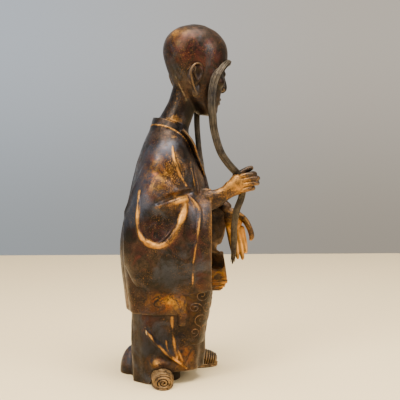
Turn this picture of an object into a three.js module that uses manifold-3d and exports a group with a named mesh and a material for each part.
// A standing luohan: an old monk in wide sleeves who holds one of his long eyebrows in his right hand.
// One bronze casting. Millimetres, Z up, the figure faces -Y and his right hand is on -X; the floor is z = 0.

import * as THREE from "three";
import { mergeVertices } from "three/addons/utils/BufferGeometryUtils.js";
import Module from "manifold-3d";

const wasm = await Module();
wasm.setup();

// Driving sizes.
const HEIGHT = 420; // floor to crown
const S = HEIGHT / 420; // every shape below is drawn for a figure of 420 and follows the height
const SKIRT_HEM = 16; // lift of the underskirt in front, over the feet
const ROBE_HEM = 85; // hem of the outer robe
const HEAD_TURN = 22; // degrees, to the figure's left
const HEAD_BOW = 7; // degrees, forward
const BROW_WIDTH = 9; // the eyebrow ribbon at the temple
const FOLD_ROLL = 4; // radius of the rolled fold on the sleeve

const V = (x, y, z) => new THREE.Vector3(x, y, z);
const mix = (a, b, t) => a + (b - a) * t;
const clamp01 = (t) => Math.min(1, Math.max(0, t));
const smooth = (a, b, t) => {
  const u = clamp01((t - a) / (b - a));
  return u * u * (3 - 2 * u);
};
const bump = (t, centre, width) => Math.exp(-(((t - centre) / width) ** 2));

// A smooth value from a short table of [position, value, value, ...] rows.
function along(rows) {
  const columns = rows[0].length - 1;
  const slope = (i, c) => {
    const a = rows[Math.max(i - 1, 0)];
    const b = rows[Math.min(i + 1, rows.length - 1)];
    return (b[c] - a[c]) / (b[0] - a[0]);
  };
  return (t) => {
    let i = 0;
    while (i < rows.length - 2 && t > rows[i + 1][0]) i++;
    const h = rows[i + 1][0] - rows[i][0];
    const u = clamp01((t - rows[i][0]) / h);
    const out = [];
    for (let c = 1; c <= columns; c++) {
      const a = rows[i][c];
      const b = rows[i + 1][c];
      const p = slope(i, c) * h;
      const q = slope(i + 1, c) * h;
      const bend = (3 * (b - a) - 2 * p - q) * u * u + (2 * (a - b) + p + q) * u * u * u;
      out.push(a + p * u + bend);
    }
    return out;
  };
}

// A closed solid from a row of rings that all have the same number of points.
function solid(rings) {
  const n = rings[0].length;
  const points = rings.flat();
  const faces = [];
  for (let i = 0; i + 1 < rings.length; i++)
    for (let j = 0; j < n; j++) {
      const a = i * n + j;
      const b = i * n + ((j + 1) % n);
      faces.push(a, b, b + n, a, b + n, a + n);
    }
  const middle = (ring) => ring.reduce((s, p) => s.add(p), V(0, 0, 0)).divideScalar(n);
  const last = (rings.length - 1) * n;
  points.push(middle(rings[0]), middle(rings[rings.length - 1]));
  for (let j = 0; j < n; j++) {
    const k = (j + 1) % n;
    faces.push(points.length - 2, k, j);
    faces.push(points.length - 1, last + j, last + k);
  }
  const geometry = new THREE.BufferGeometry().setFromPoints(points);
  geometry.setIndex(faces);
  return body(geometry);
}

// Any closed geometry as a solid, turned so that it faces outwards.
function body(geometry) {
  geometry.deleteAttribute("normal");
  geometry.deleteAttribute("uv");
  const merged = mergeVertices(geometry, 1e-4);
  const vertProperties = merged.attributes.position.array;
  const triVerts = new Uint32Array(merged.index.array);
  const made = new wasm.Manifold(new wasm.Mesh({ numProp: 3, vertProperties, triVerts }));
  if (made.volume() > 0) return made;
  return new wasm.Manifold(new wasm.Mesh({ numProp: 3, vertProperties, triVerts: triVerts.reverse() }));
}

const join = (parts) => parts.reduce((a, b) => a.add(b));

// An egg with its own turn, used for the skull, cheeks and pads of the hands.
function egg(centre, radii, wide = 20, high = 12, turn = new THREE.Euler()) {
  const g = new THREE.SphereGeometry(1, wide, high).rotateX(Math.PI / 2);
  g.scale(radii.x, radii.y, radii.z);
  g.applyMatrix4(new THREE.Matrix4().makeRotationFromEuler(turn));
  g.translate(centre.x, centre.y, centre.z);
  return body(g);
}

// A limb, cord or ribbon: a path with a width across and a thickness through at each step.
function limb(points, widths, thicknesses, side, steps = 12, around = 10, round = true) {
  const curve = new THREE.CatmullRomCurve3(points, false, "centripetal");
  const at = (list, t) => along(list.map((v, i) => [i / (list.length - 1), v]))(t)[0];
  const rings = [];
  for (let i = 0; i <= steps; i++) {
    const t = i / steps;
    const centre = curve.getPoint(t);
    const tangent = curve.getTangent(t);
    const across = side.clone().addScaledVector(tangent, -side.dot(tangent)).normalize();
    const through = tangent.clone().cross(across);
    const end = round ? Math.sqrt(Math.max(0.02, 1 - Math.abs(2 * t - 1) ** (steps / 1.6))) : 1;
    const ring = [];
    for (let j = 0; j < around; j++) {
      const a = (2 * Math.PI * j) / around;
      const p = centre.clone();
      p.addScaledVector(across, 0.5 * at(widths, t) * end * Math.cos(a));
      p.addScaledVector(through, 0.5 * at(thicknesses, t) * end * Math.sin(a));
      ring.push(p);
    }
    rings.push(ring);
  }
  return solid(rings);
}

// Level rings from the floor up: row = [z, front Y, back Y, half width, squareness].
function levels(rows, zs, around, shift = () => [0, 0]) {
  const at = along(rows);
  return zs.map((z) => {
    const [front, back, half, square] = at(z);
    const ring = [];
    for (let j = 0; j < around; j++) {
      const a = (2 * Math.PI * j) / around;
      const c = Math.cos(a);
      const s = Math.sin(a);
      const x = half * Math.sign(c) * Math.abs(c) ** (2 / square);
      const y = mix(front, back, 0.5) + 0.5 * (back - front) * Math.sign(s) * Math.abs(s) ** (2 / square);
      const [out, lift] = shift(a, z);
      ring.push(V(x + c * out, y + s * out, z + lift));
    }
    return ring;
  });
}

const span = (a, b, n) => Array.from({ length: n + 1 }, (_, i) => mix(a, b, i / n));

// Where a level ring's surface lies at a place on it, side -1 being his right.
function onSide(rows, y, z, side, out = 0) {
  const [front, back, half, square] = along(rows)(z);
  const across = Math.min(0.98, Math.abs((2 * y - front - back) / (back - front)));
  return V(side * (half * (1 - across ** square) ** (1 / square) + out), y, z);
}

const SKIRT = [
  // z, front, back, half width, squareness
  [0, -41, 44, 39, 2.3],
  [20, -43, 44, 40, 2.3],
  [48, -44, 44, 41, 2.4],
  [96, -47, 45, 43, 2.4],
];

// The underskirt: soft pleats, long folds that run down to the front, a hem that lifts over the feet,
// cloth drawn over each instep, and a lobe that spreads on the floor behind.
function underskirt() {
  const shape = (a, z) => {
    const side = bump(Math.cos(a), -1, 0.5);
    const pleats = 1.7 * Math.sin(10 * a + 0.02 * z) * (1.3 - smooth(10, 85, z)) * (1 - side);
    const raised = 1 - smooth(-0.2, 0.4, Math.sin(a) + 0.35 * Math.cos(a));
    return [pleats, (SKIRT_HEM + 10) * raised * (1 - smooth(-10, 45, z))];
  };
  const skirt = solid(levels(SKIRT, [-10, 2, 18, 44, 96], 36, shape));
  const fold = (path, wide) => {
    const points = path.map(([y, z]) => onSide(SKIRT, y, z, -1, -0.6));
    return limb(points, [1.5, wide, wide, 2], [3, 6, 6, 4], V(0, 1, 0.3), 6, 5);
  };
  const lobe = egg(V(22, 40, 2), V(17, 20, 33), 12, 8);
  // The underside is closed by a flat foot well behind the hem, under the axis of the body.
  const underside = levels([[-10, -15, 42, 26, 2.4], [30, -13, 40, 25, 2.4]], [-10, 12, 30], 14);
  const gap = limb([V(-2, 50, 40), V(0, 50, 20), V(2, 50, -4)], [7, 7], [12, 12], V(1, 0, 0), 3, 6);
  return join([
    join([skirt, solid(underside), lobe]).subtract(gap),
    fold([[27, 66], [16, 52], [0, 36], [-21, 19]], 5),
    fold([[3, 55], [1, 44], [-9, 32]], 4),
    fold([[-4, 82], [-5, 64], [-10, 33]], 6),
    fold([[-10, 46], [-16, 31], [-22, 21]], 5),
    egg(V(-36, 8, 24), V(9, 13, 8), 8, 6),
    egg(V(39, -19, 27), V(14, 17, 17), 10, 6),
  ]);
}

// The apron panel that shows in front between the open edges of the robe, and the flat fold beside it.
function apron() {
  const rows = [
    [48, -43, 4, 40, 2.6],
    [70, -47, 4, 42.7, 2.6],
    [104, -53, 4, 44, 2.6],
    [124, -49, 4, 44, 2.6],
  ];
  const panel = solid(levels(rows, [48, 66, 88, 106, 124], 24));
  const hollow = egg(V(-44, -15, 65), V(7, 8, 4.5), 8, 6, new THREE.Euler(-0.3, 0, 0));
  const places = [[-15, 114], [-16, 102], [-16, 78], [-15, 71]];
  const lappet = limb(places.map(([y, z]) => onSide(rows, y, z, -1, -0.6)), [9, 10, 10, 9], [4, 5, 5, 6], V(0, 1, 0), 6, 6);
  return join([panel.subtract(hollow), lappet]);
}

const ROBE = [
  [ROBE_HEM, -36, 49.5, 45, 2.6],
  [104, -44, 52, 46.5, 2.6],
  [138, -50, 55.5, 47, 2.5],
  [166, -50, 56, 49, 2.5],
  [191, -49, 52, 51, 2.4],
  [216, -47, 46, 52, 2.4],
  [240, -43, 41, 53, 2.3],
  [262, -34, 36, 52, 2.3],
  [278, -28, 31, 46, 2.2],
  [290, -25, 26, 36, 2.2],
  [300, -22, 21, 25, 2.1],
];

// The outer robe, open in front below the sleeves; the back leans forward to the neck.
function robe() {
  const folds = (a, z) => [1.4 * Math.sin(8 * a + 0.02 * z) * Math.max(0, Math.sin(a)) * (1 - smooth(120, 250, z)), 0];
  const zs = [ROBE_HEM, 94, 124, 160, 192, 220, 244, 264, 278, 290, 300];
  const opening = new THREE.BoxGeometry(140, 80, 50).translate(0, -51, ROBE_HEM + 12);
  const ridge = [[-5, 281], [-10, 257], [-21, 236]].map(([y, z]) => onSide(ROBE, y, z, -1, 0.5));
  const crease = limb(ridge, [2, 4, 2], [3, 5, 3], V(0, 1, 0), 5, 5);
  return join([solid(levels(ROBE, zs, 28, folds)).subtract(body(opening)), crease]);
}

// The collar band: round the neck, then down the chest with the left side over the right.
function collar() {
  const ring = [
    [297, -24, 22, 27.5, 2],
    [303, -22, 19.7, 25, 2],
    [309, -20, 17.3, 22, 2],
  ];
  const tilt = (a, z) => [0, 4.5 - 13 * (0.5 - 0.5 * Math.sin(a)) ** 2];
  const neck = solid(levels(ring, [297, 303, 309], 20, tilt));
  const lapel = (s, out) => {
    const path = [V(s * 21, -16 - out, 299), V(s * 19, -28 - out, 283), V(s * 12, -35 - out, 264), V(-s * 1, -42 - out, 243), V(-s * 15, -47 - out, 222)];
    return limb(path, [13, 13, 13], [5, 5, 5], V(s * 0.85, 0, 0.5), 6, 6, false);
  };
  return join([neck, lapel(-1, 0), lapel(1, 1)]);
}

// A wide sleeve as cuts across it from the mouth to behind the elbow; side -1 is his right.
// row = [Y, bottom Z, top Z, outer X]; a mouth is [Z, Y] rows where its edge isn't straight.
function sleeve(side, rows, mouthDepth, mouth) {
  const at = along(rows);
  const first = rows[0][0];
  const ys = [0, 0.1, 0.22, 0.36, 0.5, 0.64, 0.78, 0.9, 1].map((t) => mix(first, rows[rows.length - 1][0], t));
  const around = 16;
  const inner = 30;
  const cut = (y, shrink) => {
    const [bottom, top, outer] = at(y);
    const ring = [];
    for (let j = 0; j < around; j++) {
      const a = (2 * Math.PI * j) / around;
      const up = Math.sin(a);
      const high = 0.5 + 0.5 * up;
      const ripple = 1.2 * Math.sin(y * 0.17 + 1) * (1 - high);
      const edge = Math.sign(Math.cos(a)) * Math.abs(Math.cos(a)) ** 0.6;
      const x = mix(inner + shrink, outer * swell(high) + ripple - shrink, 0.5 + 0.5 * edge);
      const z = mix(bottom, top, 0.5) + (0.5 * (top - bottom) - shrink) * Math.sign(up) * Math.abs(up) ** 0.8;
      const forward = mouth ? (along(mouth)(z)[0] - first) * (1 - smooth(first + 6, first + 34, y)) : 0;
      ring.push(V(side * x, y + forward, z));
    }
    return ring;
  };
  const rings = [cut(first + mouthDepth, 5), cut(first, 3.4), cut(first - 0.6, 1.4)];
  return solid(rings.concat(ys.map((y, i) => cut(y, i === ys.length - 1 ? 4 : 0))));
}

// How far out the sleeve's side stands from its bottom (0) to its top (1).
function swell(high) {
  return 0.86 + 0.14 * Math.sin(Math.PI * clamp01(high * 1.15)) - 0.16 * smooth(0.75, 1, high);
}

const RIGHT_SLEEVE = [
  [-50, 112, 231, 52],
  [-33, 110, 233, 57],
  [-18, 107.5, 243, 62],
  [-4, 108.5, 262, 64],
  [10, 112.5, 270, 64],
  [24, 115, 262, 62],
  [38, 120, 238, 57],
  [51, 143, 205, 47],
];

const LEFT_SLEEVE = [
  [-67, 98, 208, 46],
  [-50, 98, 216, 52],
  [-30, 101, 226, 58],
  [-10, 106, 250, 62],
  [6, 112, 268, 63],
  [24, 119, 262, 62],
  [38, 127, 238, 56],
  [51, 146, 205, 45],
];

// The left sleeve's mouth seen from the side: a cuff, a gap and a lower lobe.
const LEFT_MOUTH = [
  [95, -56],
  [103, -71],
  [108, -74],
  [132, -70],
  [140, -67],
  [145, -55],
  [158, -54],
  [170, -67],
  [186, -72],
  [204, -70],
];

// The right sleeve, with the rolled U of cloth that hangs from the bent elbow and the lip of its crease.
function rightSleeve() {
  const outer = ([y, z], out = 0) => {
    const [bottom, top, x] = along(RIGHT_SLEEVE)(y);
    return V(-x * swell(clamp01((z - bottom) / (top - bottom))) - out, y, z);
  };
  const wide = 2 * FOLD_ROLL;
  const hang = [[33, 229], [35, 194], [32, 181], [25, 172.5], [14, 168], [4, 170.5], [-5, 179], [-13, 191], [-19.5, 217]];
  const roll = limb(hang.map((p) => outer(p)), [1, wide - 4, wide - 2, wide - 1, wide - 1, wide - 2], [3, wide, wide, wide, 6], V(0, 1, -0.6), 18, 6);
  const lip = limb([[13, 211], [-1, 215.5], [-22, 220.5]].map((p) => outer(p, -1.5)), [4, 8, 6], [6, 9, 8], V(0, 0, 1), 6, 6);
  const hangingEdge = [[-26, 222], [-36, 205], [-33, 176], [-28, 142], [-28, 120]];
  const ridge = limb(hangingEdge.map((p) => outer(p)), [2, 4.5, 4, 2], [4, 6, 5, 4], V(0, 1, 0), 8, 5);
  const crease = limb([[15, 216.5], [0, 222], [-25, 227]].map((p) => outer(p)), [5, 9, 5], [4, 7, 4], V(0, 0, 1), 6, 6);
  const pocket = egg(V(-70, 6, 197), V(11, 25, 26), 10, 8);
  return join([sleeve(-1, RIGHT_SLEEVE, 12).subtract(crease).subtract(pocket), roll, lip, ridge]);
}

function leftSleeve() {
  const notch = egg(V(27, -58, 136), V(11, 13, 11), 10, 8, new THREE.Euler(0.75, 0, 0));
  return sleeve(1, LEFT_SLEEVE, 21, LEFT_MOUTH).subtract(notch);
}

// The raised right forearm and the fist closed round the ribbon.
function rightHand() {
  const forearm = limb([V(-33, -34, 214), V(-32, -54, 219), V(-31, -67, 226), V(-31, -76, 233)], [25, 22, 17, 21], [16, 15, 12, 12], V(0, 0, 1), 5, 10);
  const palm = egg(V(-31, -81, 236), V(7, 11, 12), 10, 7, new THREE.Euler(0.3, 0, 0));
  const bends = [[-101, 248], [-104.5, 243], [-104, 237.5], [-99, 231.5]];
  const fingers = bends.map(([y, z], i) => {
    const root = 245 - 5.6 * i;
    const path = [V(-33.5, -82, root), V(-34, -92, mix(root, z, 0.5)), V(-31, y + 2.5, z), V(-24, y + 1, z - 0.7), V(-18, y + 11, z - 1.5)];
    return limb(path, [6.2, 6.3, 6.2, 5], [7, 7, 6.4, 5], V(0, 0, 1), 6, 5);
  });
  const thumb = limb([V(-25, -76, 243), V(-23, -86, 249), V(-22.5, -100, 255.5)], [9, 7.4, 5], [8, 7, 4.5], V(0, 0, 1), 4, 6);
  return join([forearm, palm, ...fingers, thumb]);
}

// The left hand hangs from a bent wrist, its palm to his right and its thumb in front.
function leftHand() {
  const forearm = limb([V(42, -36, 206), V(27, -54, 210), V(14, -66, 209), V(9, -73, 202)], [24, 18, 14, 15], [22, 17, 13, 11], V(0, 1, 0), 5, 10);
  const palm = egg(V(8.5, -79, 191), V(5.5, 11.5, 13.5), 10, 7, new THREE.Euler(-0.25, 0, 0));
  const tips = [V(3, -78.5, 150), V(2.5, -84.5, 142.5), V(3, -90.5, 141.5), V(6, -94.5, 149)];
  const fingers = tips.map((tip, i) => {
    const root = V(9, -72 - 5.6 * i, 186 - i);
    const bend = root.clone().lerp(tip, 0.5).add(V(3.2, -0.5, 0));
    return limb([root, bend, tip], [7, 6.7, 4], [6.6, 6, 3.6], V(0, 1, 0), 4, 5);
  });
  const thumb = limb([V(8, -82, 198), V(5, -92, 191), V(3, -98, 181), V(4, -99.5, 165)], [9, 7.6, 6.6, 4], [9, 7, 6, 3.6], V(0, 1, 0), 5, 6);
  return join([forearm, palm, ...fingers, thumb]);
}

// The head is built looking straight ahead about its own centre, then bowed and turned.
const HEAD = V(0, -34, 374);
function turned(made) {
  const turn = new THREE.Matrix4().makeRotationZ(THREE.MathUtils.degToRad(HEAD_TURN));
  const bow = new THREE.Matrix4().makeRotationX(THREE.MathUtils.degToRad(HEAD_BOW));
  const place = new THREE.Matrix4().makeTranslation(HEAD.x, HEAD.y, HEAD.z);
  return made.transform(place.multiply(turn).multiply(bow).elements);
}

function head() {
  const rows = [
    // z, front, back, half width, squareness: chin, mouth, nose base, eye line, brow, crown
    [-56, -22, -10, 8, 2],
    [-50, -30, -2, 15, 2.1],
    [-40, -32, 10, 20, 2.2],
    [-26, -33, 23, 24.5, 2.3],
    [-4, -34, 36, 28.5, 2.3],
    [14, -36, 42, 31.5, 2.2],
    [30, -32, 39, 29.5, 2.1],
    [42, -20, 27, 21, 2],
    [47.5, -6, 13, 9, 2],
  ];
  const zs = [-56, -50, -42, -32, -20, -7, 5, 17, 28, 37, 43.5, 47.5];
  const skull = solid(levels(rows, zs, 22));
  const nose = limb([V(0, -31, 2), V(0, -35, -10), V(0, -38, -21), V(0, -33, -26)], [6, 7, 10, 9], [6, 8, 9, 5], V(1, 0, 0), 5, 6);
  const lips = limb([V(-9, -30.5, -37.5), V(0, -33.8, -37.5), V(9, -30.5, -37.5)], [2.5, 5.5, 2.5], [3, 4, 3], V(0, 0, 1), 5, 5);
  const lids = [-1, 1].map((s) => egg(V(s * 11.5, -30, -6), V(6.5, 4.2, 3.6), 7, 5));
  const ears = [-1, 1].map((s) => {
    const shell = egg(V(s * 28.5, 12, -13), V(4, 9.5, 13.5), 10, 6, new THREE.Euler(0.15, 0, s * 0.3));
    const lobe = egg(V(s * 27, 8, -30), V(3, 5, 9), 6, 5, new THREE.Euler(0.08, 0, s * 0.1));
    const hollow = egg(V(s * 33, 11, -12), V(3.6, 5.6, 8.5), 8, 5);
    return join([shell, lobe]).subtract(hollow);
  });
  return turned(join([skull, nose, lips, ...lids, ...ears]));
}

function neck() {
  return limb([V(0, -3, 288), V(0, -6, 303), V(0, -16, 326), V(0, -22, 346), V(0, -28, 366)], [40, 33, 29, 30, 26], [40, 37, 33, 32, 28], V(1, 0, 0), 6, 12);
}

// Each brow grows from above the nose and sweeps out to the temple. The near one runs through the fist and
// hangs below it; the far one falls to the chest.
const NEAR_BROW = [
  V(8, -69, 375), V(0, -72, 378.5), V(-10, -68, 376.5), V(-17, -62, 370), V(-22, -56, 360), V(-25, -51, 332),
  V(-26, -52, 313), V(-26, -54, 297), V(-27, -61, 274), V(-27, -71, 259), V(-26, -82, 247), V(-25, -88, 236),
  V(-25, -86, 220), V(-22, -81, 205), V(-20, -78, 185), V(-18, -78, 160), V(-17, -76, 139),
];
const FAR_BROW = [
  V(15, -67, 375), V(23, -63, 378), V(29, -55, 374), V(31, -48, 366), V(30, -42, 352), V(28, -37, 335),
  V(26, -35.5, 310), V(24, -38, 276), V(20, -44, 236),
];

function ribbons() {
  const w = BROW_WIDTH;
  const near = [w - 4, w, w + 1.5, w + 0.5, w, w, w - 0.5, w - 1, 7.4, 5];
  const far = [w - 4, w, w, w - 1.5, 7, 6, 4];
  return join([
    limb(NEAR_BROW, near, [5, 5.5, 4.6, 4.2, 4, 3], V(0.25, 1, 0.2), 25, 6),
    limb(FAR_BROW, far, [5, 5.5, 4.4, 4, 4, 3], V(0.25, 1, 0.2), 16, 6),
  ]);
}

// A foot in a straw sandal: a flat sole, a rounded instep with cords across it, and an ankle under the skirt.
function foot(heel, toe) {
  const forward = toe.clone().sub(heel).normalize();
  const side = V(-forward.y, forward.x, 0);
  const at = (t, z) => heel.clone().lerp(toe, t).add(V(0, 0, z));
  const sole = new THREE.Shape();
  const half = 12;
  sole.absellipse(0, 0, heel.distanceTo(toe) / 2 + 2, half, 0, 2 * Math.PI);
  const plate = new THREE.ExtrudeGeometry(sole, { depth: 5, bevelEnabled: false, curveSegments: 6 });
  plate.rotateZ(Math.atan2(forward.y, forward.x));
  plate.translate(0.5 * (heel.x + toe.x), 0.5 * (heel.y + toe.y), 0);
  const upper = limb([at(0.05, 10), at(0.45, 12), at(0.8, 9.5), at(1, 7.5)], [20, 23, 23, 17], [19, 21, 18, 13], side, 6, 10);
  const into = V(0.75 * heel.x, 0.75 * heel.y, 40);
  const ankle = limb([at(0.1, 6), at(0.05, 22), into], [22, 22, 24], [20, 20, 22], side, 3, 8);
  const cords = [];
  for (let i = 0; i < 3; i++) {
    const t = 0.6 + 0.13 * i;
    const hoop = [];
    for (let k = 0; k <= 5; k++) {
      const a = mix(-0.2, Math.PI + 0.2, k / 5);
      const grow = 1 - 0.3 * smooth(0.7, 1.05, t);
      hoop.push(at(t + 0.06 * Math.sin(a), 5 + 13.2 * grow * Math.sin(a)).addScaledVector(side, 12 * grow * Math.cos(a)));
    }
    cords.push(limb(hoop, [2.6, 2.6], [2.6, 2.6], forward, 5, 4, false));
  }
  return join([body(plate), upper, ankle, ...cords]);
}

// Everything below the floor is cut away, so the figure stands flat on the skirt behind and on its soles.
function onFloor(made) {
  return made.subtract(body(new THREE.BoxGeometry(400, 400, 40).translate(0, 0, -20)));
}

const figure = onFloor(join([
  underskirt(),
  apron(),
  robe(),
  collar(),
  rightSleeve(),
  leftSleeve(),
  rightHand(),
  leftHand(),
  neck(),
  head(),
  ribbons(),
  foot(V(-18, 9, 0), V(-58, 6, 0)),
  foot(V(42, -16, 0), V(46, -60, 0)),
]));

function geometryOf(made) {
  const mesh = made.getMesh();
  const geometry = new THREE.BufferGeometry();
  geometry.setAttribute("position", new THREE.BufferAttribute(new Float32Array(mesh.vertProperties), 3));
  geometry.setIndex(new THREE.BufferAttribute(new Uint32Array(mesh.triVerts), 1));
  geometry.scale(S, S, S);
  return geometry;
}

const bronze = new THREE.MeshStandardMaterial({ color: 0x5a4436, metalness: 0.8, roughness: 0.45 });
const mesh = new THREE.Mesh(geometryOf(figure), bronze);
mesh.name = "luohan_figure";

const group = new THREE.Group();
group.name = "luohan_statue";
group.add(mesh);
export default group;
